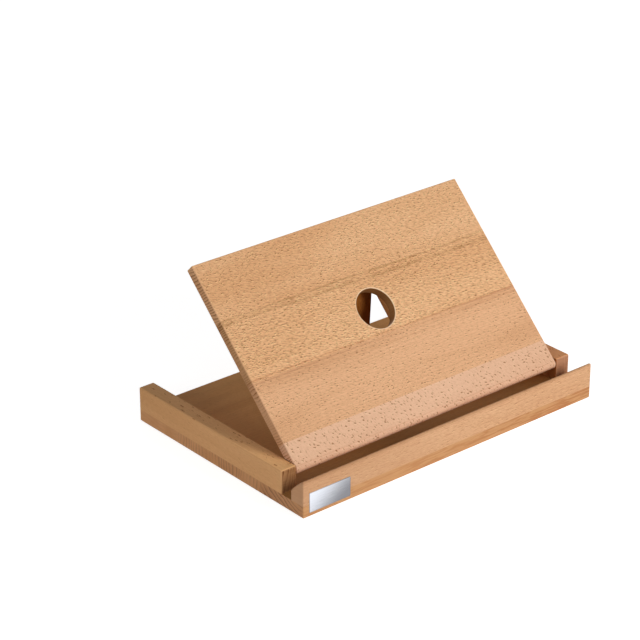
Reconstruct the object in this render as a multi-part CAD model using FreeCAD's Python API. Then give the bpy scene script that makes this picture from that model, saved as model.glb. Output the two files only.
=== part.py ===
import FreeCAD, Part
import math
import os

# A folding cookbook stand in solid beech. A flat base board carries two side rails and a front lip.
# A reading panel turns on two blind pins between the rails and leans on a prop that swings out from
# between two battens on its back. X runs along the front, Y to the back and Z up. The origin is on
# the table, under the middle of the base board. All sizes are in millimetres, all angles in degrees.

# Base board
stand_width = 350.0
stand_depth = 235.0
base_thickness = 12.0
base_stave_count = 4
base_bottom_chamfer = 1.0
arris_radius = 1.4

# Anti-slip discs under the corners
foot_diameter = 12.0
foot_thickness = 1.0
foot_inset = 22.0

# Side rails
rail_width = 16.5
rail_height = 22.4

# Front lip and the trough behind it, where the book's lower edge stands
lip_thickness = 17.0
lip_height = 23.5
lip_front_edge_radius = 1.5
lip_back_edge_radius = 2.0
lip_bevel_top_slope = 37.2
lip_bevel_bottom_slope = 49.5
trough_width = 12.0

# Reading panel, edge-glued from staves; the widths run from its rounded lower edge upward,
# and the top stave takes what is left
panel_thickness = 10.0
panel_side_gap = 0.6
panel_back_setback = 1.0
panel_stave_widths = [27.8, 59.4, 60.8]
panel_edge_chamfer = 0.6
reading_angle = 44.6
finger_hole_diameter = 40.0
finger_hole_height = 112.2
finger_hole_rim_chamfer = 0.5

# Battens that stiffen the panel's back and carry the prop's pivot
batten_thickness = 11.0
batten_width = 18.0
batten_bottom_setback = 20.0
batten_top_setback = 22.0
batten_fold_clearance = 0.6
batten_edge_chamfer = 0.8
batten_end_radius = 4.0

# Prop
prop_width = 46.0
prop_thickness = 10.0
prop_side_clearance = 0.4
pivot_below_panel_top = 58.4
prop_lean = 3.56
prop_foot_clearance = 0.3
prop_edge_chamfer = 0.6

# Hinge pins and pivot rod
running_clearance = 0.05
seat_clearance = 0.02
hinge_pin_diameter = 5.0
hinge_pin_rail_depth = 11.0
hinge_pin_panel_depth = 13.0
hinge_pin_end_gap = 0.3
pivot_rod_diameter = 5.0
pivot_rod_recess = 0.5

# Countersunk wood screws, where pieces cross the grain of what they are fixed to: rails to the base board,
# through the middle of the numbered staves counted from the front, and battens to the panel
rail_screw_head_diameter = 7.0
rail_screw_diameter = 3.5
rail_screw_length = 25.0
rail_screw_staves = [2, 4]
batten_screw_head_diameter = 6.0
batten_screw_diameter = 3.0
batten_screw_length = 16.0
batten_screw_end_distance = 14.0

# Blank metal plate on the front, near the left end
plate_width = 46.0
plate_height = 19.0
plate_thickness = 0.5
plate_from_left = 6.6
plate_from_bottom = 4.2
plate_corner_radius = 0.6

# Places that follow from the sizes above
left = -stand_width / 2
right = stand_width / 2
front = -stand_depth / 2
back = stand_depth / 2
base_bottom = foot_thickness
base_top = base_bottom + base_thickness
base_stave_width = stand_depth / base_stave_count
rail_top = base_top + rail_height
lip_top = base_top + lip_height
rail_front = front + lip_thickness + trough_width
panel_radius = panel_thickness / 2
panel_half_width = stand_width / 2 - rail_width - panel_side_gap
panel_top_end = back - panel_back_setback
hinge_y = rail_front + panel_radius
hinge_z = base_top + batten_fold_clearance + batten_thickness + panel_radius
panel_underside = hinge_z - panel_radius
panel_face = hinge_z + panel_radius
batten_underside = panel_underside - batten_thickness
batten_inner = prop_width / 2 + prop_side_clearance
batten_outer = batten_inner + batten_width
batten_low_end = rail_front + batten_bottom_setback
batten_top_end = panel_top_end - batten_top_setback
prop_radius = prop_thickness / 2
pivot_y = panel_top_end - pivot_below_panel_top
pivot_z = panel_underside - batten_thickness / 2

# The panel, its battens and the prop are drawn folded flat. Raising the panel to its reading angle
# lifts the pivot, and the prop is as long as the pivot is then high, less the room under its foot.
hinge_axis_point = FreeCAD.Vector(0, hinge_y, hinge_z)
pivot_axis_point = FreeCAD.Vector(0, pivot_y, pivot_z)
x_axis = FreeCAD.Vector(1, 0, 0)
prop_opening = 90.0 - reading_angle + prop_lean
pivot_arm = pivot_y - hinge_y
pivot_drop = hinge_z - pivot_z
reading = math.radians(reading_angle)
raised_pivot_z = hinge_z + pivot_arm * math.sin(reading) - pivot_drop * math.cos(reading)
prop_foot_centre_z = base_top + prop_foot_clearance + prop_radius
prop_reach = (raised_pivot_z - prop_foot_centre_z) / math.cos(math.radians(prop_lean))


def block(x_low, y_low, z_low, x_high, y_high, z_high):
    """A square-edged block between two opposite corners."""
    corner = FreeCAD.Vector(x_low, y_low, z_low)
    return Part.makeBox(x_high - x_low, y_high - y_low, z_high - z_low, corner)


def soften(solid, radius, chosen):
    """Rounds the edges for which chosen(edge) is true."""
    return solid.makeFillet(radius, [edge for edge in solid.Edges if chosen(edge)])


def bevel(solid, size, chosen):
    """Chamfers the edges for which chosen(edge) is true."""
    return solid.makeChamfer(size, [edge for edge in solid.Edges if chosen(edge)])


def near(value, target):
    return abs(value - target) < 0.01


def runs_upright(edge):
    box = edge.BoundBox
    return near(box.XLength, 0) and near(box.YLength, 0)


def lies_at_height(edge, height):
    box = edge.BoundBox
    return near(box.ZMin, height) and near(box.ZMax, height)


def lies_on_end(edge, x_values):
    """True for an edge that lies in the plane of one of the given X values."""
    box = edge.BoundBox
    return near(box.XLength, 0) and any(near(box.XMin, x) for x in x_values)


def rod_along_x(x_start, x_end, centre, radius):
    """A round bar between two X values, in either order, about an axis through a centre point."""
    start = FreeCAD.Vector(min(x_start, x_end), centre.y, centre.z)
    return Part.makeCylinder(radius, abs(x_end - x_start), start, x_axis)


def line(start, end):
    return Part.LineSegment(start, end).toShape()


def arc_about(centre, radius, start_angle, end_angle):
    """An arc in the plane X = 0; angles run from +Y towards +Z."""
    points = []
    for angle in (start_angle, (start_angle + end_angle) / 2, end_angle):
        turn = math.radians(angle)
        points.append(centre + FreeCAD.Vector(0, radius * math.cos(turn), radius * math.sin(turn)))
    return Part.Arc(*points).toShape()


def board_from_profile(edges, half_width):
    """Stretches a closed outline in the plane X = 0 to both sides of the middle."""
    face = Part.Face(Part.Wire(edges))
    face.translate(FreeCAD.Vector(-half_width, 0, 0))
    return face.extrude(FreeCAD.Vector(2 * half_width, 0, 0))


def placed_at(shape, places):
    """Copies of a shape at each of the given points."""
    copies = []
    for place in places:
        copy = shape.copy()
        copy.translate(place)
        copies.append(copy)
    return copies


def wood_screw(head_diameter, shank_diameter, length):
    """A countersunk screw along +Z, with its flat head face at z = 0."""
    head_radius = head_diameter / 2
    shank_radius = shank_diameter / 2
    corners = [
        FreeCAD.Vector(0, 0, 0),
        FreeCAD.Vector(head_radius, 0, 0),
        FreeCAD.Vector(shank_radius, 0, head_radius - shank_radius),
        FreeCAD.Vector(shank_radius, 0, length),
        FreeCAD.Vector(0, 0, length),
        FreeCAD.Vector(0, 0, 0),
    ]
    section = Part.Face(Part.makePolygon(corners))
    return section.revolve(FreeCAD.Vector(0, 0, 0), FreeCAD.Vector(0, 0, 1), 360)


def screw_hole(head_diameter, shank_diameter, length):
    """The countersunk hole in which a screw sits with its head face flush."""
    wider = 2 * seat_clearance
    return wood_screw(head_diameter + wider, shank_diameter + wider, length + seat_clearance)


def rail_screw_places():
    x_middle = stand_width / 2 - rail_width / 2
    y_values = [front + (stave - 0.5) * base_stave_width for stave in rail_screw_staves]
    return [FreeCAD.Vector(side * x_middle, y, base_bottom) for side in (-1, 1) for y in y_values]


def batten_screw_places():
    x_middle = (batten_inner + batten_outer) / 2
    y_values = [batten_low_end + batten_screw_end_distance, batten_top_end - batten_screw_end_distance]
    return [FreeCAD.Vector(side * x_middle, y, batten_underside) for side in (-1, 1) for y in y_values]


def rail_screw_holes():
    hole = screw_hole(rail_screw_head_diameter, rail_screw_diameter, rail_screw_length)
    return placed_at(hole, rail_screw_places())


def batten_screw_holes():
    hole = screw_hole(batten_screw_head_diameter, batten_screw_diameter, batten_screw_length)
    return placed_at(hole, batten_screw_places())


def rail_screws():
    screw = wood_screw(rail_screw_head_diameter, rail_screw_diameter, rail_screw_length)
    return Part.makeCompound(placed_at(screw, rail_screw_places()))


def folded_batten_screws():
    screw = wood_screw(batten_screw_head_diameter, batten_screw_diameter, batten_screw_length)
    return Part.makeCompound(placed_at(screw, batten_screw_places()))


def foot(x_side, y_side):
    """One rubber disc under a corner of the board; x_side and y_side are -1 or 1."""
    x = x_side * (stand_width / 2 - foot_inset)
    y = y_side * (stand_depth / 2 - foot_inset)
    return Part.makeCylinder(foot_diameter / 2, foot_thickness, FreeCAD.Vector(x, y, 0))


def base_staves():
    """The base board, with its screw holes, sawn into its staves from front to back."""
    board = block(left, front, base_bottom, right, back, base_top)
    board = soften(board, arris_radius, runs_upright)
    board = bevel(board, base_bottom_chamfer, lambda edge: lies_at_height(edge, base_bottom))
    board = board.cut(rail_screw_holes())
    staves = []
    for index in range(base_stave_count):
        y_low = front + index * base_stave_width
        strip = block(left, y_low, base_bottom, right, y_low + base_stave_width, base_top)
        staves.append(board.common(strip))
    return staves


def side_rail(side):
    """The left rail for side -1 and the right rail for side 1."""
    outer = side * stand_width / 2
    inner = outer - side * rail_width
    rail = block(min(inner, outer), rail_front, base_top, max(inner, outer), back, rail_top)
    rail = soften(rail, arris_radius, lambda edge: runs_upright(edge) or lies_at_height(edge, rail_top))
    bore_end = inner + side * (hinge_pin_rail_depth + hinge_pin_end_gap)
    bore = rod_along_x(inner, bore_end, hinge_axis_point, hinge_pin_diameter / 2 + seat_clearance)
    return rail.cut([bore] + rail_screw_holes())


def front_lip():
    """The lip, flush with the board's front, with a long crowned bevel that falls to the trough."""
    top_slope = math.radians(lip_bevel_top_slope)
    bottom_slope = math.radians(lip_bevel_bottom_slope)
    crown_run = lip_thickness - lip_front_edge_radius * (1 + math.sin(top_slope))
    crown_run = crown_run - lip_back_edge_radius * (1 - math.sin(bottom_slope))
    crown_radius = crown_run / (math.sin(bottom_slope) - math.sin(top_slope))
    towards_top = FreeCAD.Vector(0, math.sin(top_slope), math.cos(top_slope))
    towards_bottom = FreeCAD.Vector(0, math.sin(bottom_slope), math.cos(bottom_slope))
    front_centre = FreeCAD.Vector(0, front + lip_front_edge_radius, lip_top - lip_front_edge_radius)
    crown_centre = front_centre - towards_top * (crown_radius - lip_front_edge_radius)
    back_centre = crown_centre + towards_bottom * (crown_radius - lip_back_edge_radius)
    top_angle = 90 - lip_bevel_top_slope
    bottom_angle = 90 - lip_bevel_bottom_slope
    foot_of_front = FreeCAD.Vector(0, front, base_top)
    foot_of_back = FreeCAD.Vector(0, front + lip_thickness, base_top)
    outline = [
        line(foot_of_front, FreeCAD.Vector(0, front, front_centre.z)),
        arc_about(front_centre, lip_front_edge_radius, 180, top_angle),
        arc_about(crown_centre, crown_radius, top_angle, bottom_angle),
        arc_about(back_centre, lip_back_edge_radius, bottom_angle, 0),
        line(FreeCAD.Vector(0, front + lip_thickness, back_centre.z), foot_of_back),
        line(foot_of_back, foot_of_front),
    ]
    lip = board_from_profile(outline, stand_width / 2)
    ends = (left, right)
    return soften(
        lip,
        arris_radius,
        lambda edge: lies_on_end(edge, ends) and not lies_at_height(edge, base_top),
    )


def hinge_pin(side):
    """A steel pin pressed into a rail, on which one end of the panel turns."""
    rail_end = side * (stand_width / 2 - rail_width + hinge_pin_rail_depth)
    panel_pin_end = side * (panel_half_width - hinge_pin_panel_depth)
    return rod_along_x(rail_end, panel_pin_end, hinge_axis_point, hinge_pin_diameter / 2)


def label_plate():
    """A thin plate with nothing on it, glued to the front."""
    x_low = left + plate_from_left
    z_low = base_bottom + plate_from_bottom
    plate = block(x_low, front - plate_thickness, z_low, x_low + plate_width, front, z_low + plate_height)
    return soften(plate, plate_corner_radius, lambda edge: near(edge.BoundBox.YLength, plate_thickness))


def is_hole_rim(edge, hole_centre):
    box = edge.BoundBox
    at_centre = near(box.Center.x, hole_centre.x) and near(box.Center.y, hole_centre.y)
    return at_centre and near(box.XLength, finger_hole_diameter) and near(box.ZLength, 0)


def folded_panel_staves():
    """The reading panel folded flat, sawn into its staves from the hinge edge to the far edge."""
    outline = [
        line(FreeCAD.Vector(0, hinge_y, panel_underside), FreeCAD.Vector(0, panel_top_end, panel_underside)),
        line(FreeCAD.Vector(0, panel_top_end, panel_underside), FreeCAD.Vector(0, panel_top_end, panel_face)),
        line(FreeCAD.Vector(0, panel_top_end, panel_face), FreeCAD.Vector(0, hinge_y, panel_face)),
        arc_about(hinge_axis_point, panel_radius, 90, 270),
    ]
    board = board_from_profile(outline, panel_half_width)
    ends = (-panel_half_width, panel_half_width)
    board = bevel(
        board,
        panel_edge_chamfer,
        lambda edge: lies_on_end(edge, ends) or near(edge.BoundBox.YMin, panel_top_end),
    )
    hole_centre = FreeCAD.Vector(0, rail_front + finger_hole_height, panel_underside)
    board = board.cut(Part.makeCylinder(finger_hole_diameter / 2, panel_thickness, hole_centre))
    board = bevel(board, finger_hole_rim_chamfer, lambda edge: is_hole_rim(edge, hole_centre))
    pin_radius = hinge_pin_diameter / 2 + running_clearance
    bore_end = panel_half_width - hinge_pin_panel_depth - hinge_pin_end_gap
    left_bore = rod_along_x(-panel_half_width, -bore_end, hinge_axis_point, pin_radius)
    right_bore = rod_along_x(bore_end, panel_half_width, hinge_axis_point, pin_radius)
    board = board.cut([left_bore, right_bore] + batten_screw_holes())
    joints = [rail_front]
    for width in panel_stave_widths:
        joints.append(joints[-1] + width)
    joints.append(panel_top_end)
    staves = []
    for y_low, y_high in zip(joints[:-1], joints[1:]):
        strip = block(-panel_half_width, y_low, panel_underside, panel_half_width, y_high, panel_face)
        staves.append(board.common(strip))
    return staves


def folded_batten(side):
    """The left batten for side -1 and the right batten for side 1."""
    x_low = min(side * batten_inner, side * batten_outer)
    x_high = x_low + batten_width
    batten = block(x_low, batten_low_end, batten_underside, x_high, batten_top_end, panel_underside)
    batten = soften(
        batten,
        batten_end_radius,
        lambda edge: lies_at_height(edge, batten_underside) and near(edge.BoundBox.YLength, 0),
    )
    batten = bevel(
        batten,
        batten_edge_chamfer,
        lambda edge: lies_on_end(edge, (x_low, x_high)) and not lies_at_height(edge, panel_underside),
    )
    bore = rod_along_x(x_low, x_high, pivot_axis_point, pivot_rod_diameter / 2 + seat_clearance)
    return batten.cut([bore] + batten_screw_holes())


def folded_prop():
    """The prop folded flat between the battens, with its foot towards the hinge.

    Its head is round on the panel's side, so that it turns clear of the panel, and square on the
    other side, so that it stops just past a right angle to the panel. Its foot is fully rounded.
    """
    foot_centre = pivot_axis_point - FreeCAD.Vector(0, prop_reach, 0)
    low = pivot_z - prop_radius
    high = pivot_z + prop_radius
    head = pivot_y + prop_radius
    outline = [
        line(FreeCAD.Vector(0, pivot_y, high), FreeCAD.Vector(0, foot_centre.y, high)),
        arc_about(foot_centre, prop_radius, 90, 270),
        line(FreeCAD.Vector(0, foot_centre.y, low), FreeCAD.Vector(0, head, low)),
        line(FreeCAD.Vector(0, head, low), FreeCAD.Vector(0, head, pivot_z)),
        arc_about(pivot_axis_point, prop_radius, 0, 90),
    ]
    half_width = prop_width / 2
    prop = board_from_profile(outline, half_width)
    prop = bevel(prop, prop_edge_chamfer, lambda edge: lies_on_end(edge, (-half_width, half_width)))
    bore_radius = pivot_rod_diameter / 2 + running_clearance
    return prop.cut(rod_along_x(-half_width, half_width, pivot_axis_point, bore_radius))


def folded_pivot_rod():
    half_length = batten_outer - pivot_rod_recess
    return rod_along_x(-half_length, half_length, pivot_axis_point, pivot_rod_diameter / 2)


def opened(shape):
    """Swings a folded prop out from between the battens."""
    turned = shape.copy()
    turned.rotate(pivot_axis_point, x_axis, prop_opening)
    return turned


def raised(shape):
    """Lifts a piece that was drawn folded with the panel to its reading angle."""
    turned = shape.copy()
    turned.rotate(hinge_axis_point, x_axis, reading_angle)
    return turned


def write(node, shape):
    shape.exportStep("parts/" + node + ".step")


os.makedirs("parts", exist_ok=True)

for number, stave in enumerate(base_staves(), start=1):
    write("base_stave_" + str(number), stave)

for y_name, y_side in (("front", -1), ("back", 1)):
    for x_name, x_side in (("left", -1), ("right", 1)):
        write("rubber_foot_" + y_name + "_" + x_name, foot(x_side, y_side))

for side_name, side in (("left", -1), ("right", 1)):
    write(side_name + "_rail", side_rail(side))
    write(side_name + "_hinge_pin", hinge_pin(side))
    write(side_name + "_batten", raised(folded_batten(side)))

write("rail_screws", rail_screws())
write("front_lip", front_lip())
write("label_plate", label_plate())

for number, stave in enumerate(folded_panel_staves(), start=1):
    write("panel_stave_" + str(number), raised(stave))

write("batten_screws", raised(folded_batten_screws()))
write("prop_pivot_rod", raised(folded_pivot_rod()))
write("prop", raised(opened(folded_prop())))
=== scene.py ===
import bmesh
import bpy
import math
from mathutils import Euler, Matrix, Vector


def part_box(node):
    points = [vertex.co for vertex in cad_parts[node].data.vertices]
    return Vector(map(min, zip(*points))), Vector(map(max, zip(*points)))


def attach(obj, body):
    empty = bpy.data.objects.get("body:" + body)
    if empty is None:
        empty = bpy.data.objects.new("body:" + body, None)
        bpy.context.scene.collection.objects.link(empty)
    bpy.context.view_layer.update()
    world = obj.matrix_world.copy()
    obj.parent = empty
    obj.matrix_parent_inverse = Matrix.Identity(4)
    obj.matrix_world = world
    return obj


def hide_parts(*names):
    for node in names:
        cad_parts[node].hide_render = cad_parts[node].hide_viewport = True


# A folding cookbook stand in oiled beech, with its panel raised on the prop, on a white studio floor.
# Everything is in metres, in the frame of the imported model: X along the front, Y to the back, Z up.

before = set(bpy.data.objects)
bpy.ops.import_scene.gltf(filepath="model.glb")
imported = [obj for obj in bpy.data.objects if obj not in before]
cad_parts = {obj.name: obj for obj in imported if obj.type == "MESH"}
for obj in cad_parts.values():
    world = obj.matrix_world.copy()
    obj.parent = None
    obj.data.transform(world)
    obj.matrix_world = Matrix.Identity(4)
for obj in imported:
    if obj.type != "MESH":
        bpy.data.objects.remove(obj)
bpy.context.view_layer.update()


def rod_axis(box):
    """The point in the middle of the stand that the axis of a rod or pin along X goes through."""
    low, high = box
    return Vector((0, (low.y + high.y) / 2, (low.z + high.z) / 2))


# The panel leans back by this angle about the axis of its hinge pins, and the prop leans by a little
# from the upright; both are read off the solids, so that the grain follows the boards.
hinge_axis = rod_axis(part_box("left_hinge_pin"))
pivot_axis = rod_axis(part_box("prop_pivot_rod"))
pivot_depth_under_hinge = 0.0105
reading_angle = math.atan2(pivot_axis.z - hinge_axis.z, pivot_axis.y - hinge_axis.y)
reading_angle += math.asin(pivot_depth_under_hinge / (pivot_axis - hinge_axis).length)
prop_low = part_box("prop")[0]
prop_half_thickness = 0.005
prop_lean = math.atan2(
    pivot_axis.y - (prop_low.y + prop_half_thickness),
    pivot_axis.z - (prop_low.z + prop_half_thickness),
)
stand_half_width = 0.175
quarter_turn = math.pi / 2


class Tree:
    """Short calls for the shader nodes of one material or group.

    A value may be a number, a tuple or a socket.
    """

    def __init__(self, tree):
        self.tree = tree

    def node(self, kind, **settings):
        made = self.tree.nodes.new("ShaderNode" + kind)
        for name, value in settings.items():
            setattr(made, name, value)
        return made

    def feed(self, socket, value):
        if isinstance(value, bpy.types.NodeSocket):
            self.tree.links.new(value, socket)
        elif value is not None:
            socket.default_value = value

    def math(self, operation, first, second=None, clamp=False):
        made = self.node("Math", operation=operation, use_clamp=clamp)
        self.feed(made.inputs[0], first)
        self.feed(made.inputs[1], second)
        return made.outputs[0]

    def times(self, first, second):
        return self.math("MULTIPLY", first, second)

    def plus(self, first, second):
        return self.math("ADD", first, second)

    def minus(self, first, second, clamp=False):
        return self.math("SUBTRACT", first, second, clamp)

    def vector(self, operation, first, second=None):
        made = self.node("VectorMath", operation=operation)
        self.feed(made.inputs[0], first)
        self.feed(made.inputs[1], second)
        return made.outputs["Value" if operation == "LENGTH" else "Vector"]

    def turn(self, vector, angles):
        made = self.node("VectorRotate", rotation_type="EULER_XYZ")
        self.feed(made.inputs["Vector"], vector)
        self.feed(made.inputs["Rotation"], angles)
        return made.outputs[0]

    def parts(self, vector):
        made = self.node("SeparateXYZ")
        self.feed(made.inputs[0], vector)
        return made.outputs

    def joined(self, x, y, z):
        made = self.node("CombineXYZ")
        for socket, value in zip(made.inputs, (x, y, z)):
            self.feed(socket, value)
        return made.outputs[0]

    def noise(self, vector, scale, detail=2.0, roughness=0.5, distortion=0.0):
        made = self.node("TexNoise")
        self.feed(made.inputs["Vector"], vector)
        self.feed(made.inputs["Scale"], scale)
        self.feed(made.inputs["Detail"], detail)
        self.feed(made.inputs["Roughness"], roughness)
        self.feed(made.inputs["Distortion"], distortion)
        return made.outputs[0]

    def cells(self, vector):
        """The place of the nearest of points scattered over a plane, and that point's own random colour."""
        made = self.node("TexVoronoi", voronoi_dimensions="2D")
        self.feed(made.inputs["Vector"], vector)
        self.feed(made.inputs["Scale"], 1.0)
        return made.outputs["Position"], made.outputs["Color"]

    def ease(self, value, low, high, to_low=0.0, to_high=1.0):
        made = self.node("MapRange", interpolation_type="SMOOTHSTEP")
        for socket, given in zip(made.inputs, (value, low, high, to_low, to_high)):
            self.feed(socket, given)
        return made.outputs[0]

    def blend(self, share, first, second, mode="MIX"):
        made = self.node("Mix", data_type="RGBA", blend_type=mode)
        self.feed(made.inputs["Factor"], share)
        # Its sockets for two colours and their mix, among others of the same names for numbers and vectors
        self.feed(made.inputs[6], first)
        self.feed(made.inputs[7], second)
        return made.outputs[2]

    def tint(self, share, colour, tint):
        return self.blend(share, colour, tint, "MULTIPLY")

    def group(self, built, **values):
        """A node group placed with its own values; an underscore in a name stands for a space."""
        made = self.node("Group")
        made.node_tree = built
        for name, value in values.items():
            self.feed(made.inputs[name.replace("_", " ")], value)
        return made.outputs


def start_group(name, inputs, outputs):
    """An empty node group with the named sockets; inputs give a default value each."""
    built = bpy.data.node_groups.new(name, "ShaderNodeTree")
    for socket, value in inputs.items():
        kind = "NodeSocketFloat" if isinstance(value, float) else "NodeSocketVector"
        if isinstance(value, tuple) and len(value) == 4:
            kind = "NodeSocketColor"
        made = built.interface.new_socket(name=socket, in_out="INPUT", socket_type=kind)
        made.default_value = value
    for socket, kind in outputs.items():
        built.interface.new_socket(name=socket, in_out="OUTPUT", socket_type="NodeSocket" + kind)
    tree = Tree(built)
    entry = built.nodes.new("NodeGroupInput")
    leave = built.nodes.new("NodeGroupOutput")
    return built, tree, entry.outputs, leave.inputs


def build_ray_flecks():
    """Beech's rays: short strokes over a face, each turned a little differently, with a pale side."""
    built, tree, given, out = start_group(
        "ray_flecks",
        {"Along": 0.0, "Across": 0.0, "Spacing": 0.003, "Length": 0.003, "Width": 0.0006, "Slant": 0.3,
         "Spread": 0.8, "Amount": 0.6, "Seed": 0.0},
        {"Mask": "Float", "Pale": "Float"},
    )
    cell_length = tree.times(given["Spacing"], 1.5)
    along = tree.plus(tree.math("DIVIDE", given["Along"], cell_length), given["Seed"])
    across = tree.math("DIVIDE", given["Across"], given["Spacing"])
    place_in_cell, colour = tree.cells(tree.joined(along, across, 0.0))
    chance = tree.parts(colour)
    centre = tree.parts(place_in_cell)
    from_centre = tree.joined(
        tree.times(tree.minus(along, centre[0]), cell_length),
        tree.times(tree.minus(across, centre[1]), given["Spacing"]),
        0.0,
    )
    own_turn = tree.times(tree.minus(chance[0], 0.5), given["Spread"])
    angle = tree.times(tree.plus(given["Slant"], own_turn), -1.0)
    lain = tree.parts(tree.turn(from_centre, tree.joined(0.0, 0.0, angle)))
    ragged = tree.noise(tree.joined(given["Along"], given["Across"], given["Seed"]), 700.0, 1.0)
    ragged = tree.times(tree.minus(ragged, 0.5), given["Width"])
    sideways = tree.plus(lain[1], tree.times(ragged, 1.6))
    half_size = tree.plus(0.3, tree.times(chance[1], 0.35))
    half_length = tree.times(given["Length"], half_size)
    half_width = tree.times(given["Width"], half_size)
    lengthways = tree.math("DIVIDE", lain[0], half_length)
    edge = tree.vector("LENGTH", tree.joined(lengthways, tree.math("DIVIDE", sideways, half_width), 0.0))
    raised = tree.math("DIVIDE", tree.plus(sideways, given["Width"]), half_width)
    pale_edge = tree.vector("LENGTH", tree.joined(lengthways, raised, 0.0))
    present = tree.math("LESS_THAN", chance[2], given["Amount"])
    strength = tree.times(present, tree.plus(0.5, tree.times(chance[0], 0.5)))
    stroke = tree.minus(1.0, tree.ease(edge, 0.5, 1.05))
    beside = tree.minus(tree.minus(1.0, tree.ease(pale_edge, 0.4, 1.3)), stroke, clamp=True)
    tree.feed(out["Mask"], tree.times(stroke, strength))
    tree.feed(out["Pale"], tree.times(beside, strength))
    return built


def build_year_rings():
    """Year rings about a pith along the grain: 0 in early wood, rising to 1 at a ring's dark line."""
    built, tree, given, out = start_group(
        "year_rings",
        {"Vector": (0.0, 0.0, 0.0), "Pith": (0.0, 0.0, 0.0), "Ring Width": 0.004, "Seed": 0.0},
        {"Line": "Float", "Ray": "Float"},
    )
    moved = tree.vector("SUBTRACT", given["Vector"], given["Pith"])
    parts = tree.parts(moved)
    drawn_out = tree.joined(tree.times(parts[0], 0.12), parts[1], parts[2])
    shifted = tree.vector("ADD", drawn_out, tree.joined(given["Seed"], 0.0, 0.0))
    wander = tree.minus(tree.noise(shifted, 30.0, 3.0), 0.5)
    radius = tree.vector("LENGTH", tree.joined(0.0, parts[1], parts[2]))
    waved = tree.plus(radius, tree.times(wander, 0.012))
    uneven = tree.noise(tree.joined(tree.times(radius, 70.0), given["Seed"], 0.0), 1.0, 1.0)
    waved = tree.plus(waved, tree.times(uneven, 0.006))
    phase = tree.math("FRACT", tree.math("DIVIDE", waved, given["Ring Width"]))
    rise = tree.math("POWER", phase, 3.0)
    fall = tree.minus(1.0, tree.ease(phase, 0.9, 1.0))
    tree.feed(out["Line"], tree.times(rise, fall))
    angle = tree.math("ARCTAN2", parts[1], parts[2])
    spokes = tree.joined(tree.times(angle, 260.0), tree.times(radius, 90.0), 0.0)
    tree.feed(out["Ray"], tree.noise(spokes, 1.0, 1.0))
    return built


def build_arris():
    """A mask of the lines along a board's edges, from how near a point is to two faces of its box at once."""
    built, tree, given, out = start_group(
        "arris",
        {"Vector": (0.0, 0.0, 0.0), "Low": (0.0, 0.0, 0.0), "High": (1.0, 1.0, 1.0), "Width": 0.0015},
        {"Mask": "Float"},
    )
    from_low = tree.vector("ABSOLUTE", tree.vector("SUBTRACT", given["Vector"], given["Low"]))
    from_high = tree.vector("ABSOLUTE", tree.vector("SUBTRACT", given["High"], given["Vector"]))
    x, y, z = tree.parts(tree.vector("MINIMUM", from_low, from_high))[:3]
    larger = tree.math("MAXIMUM", x, y)
    smaller = tree.math("MINIMUM", x, y)
    second = tree.math("MAXIMUM", smaller, tree.math("MINIMUM", larger, z))
    ragged = tree.times(tree.noise(given["Vector"], 220.0, 2.0), given["Width"])
    reach = tree.plus(tree.times(given["Width"], 0.6), ragged)
    tree.feed(out["Mask"], tree.minus(1.0, tree.ease(second, 0.0, reach)))
    return built


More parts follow.
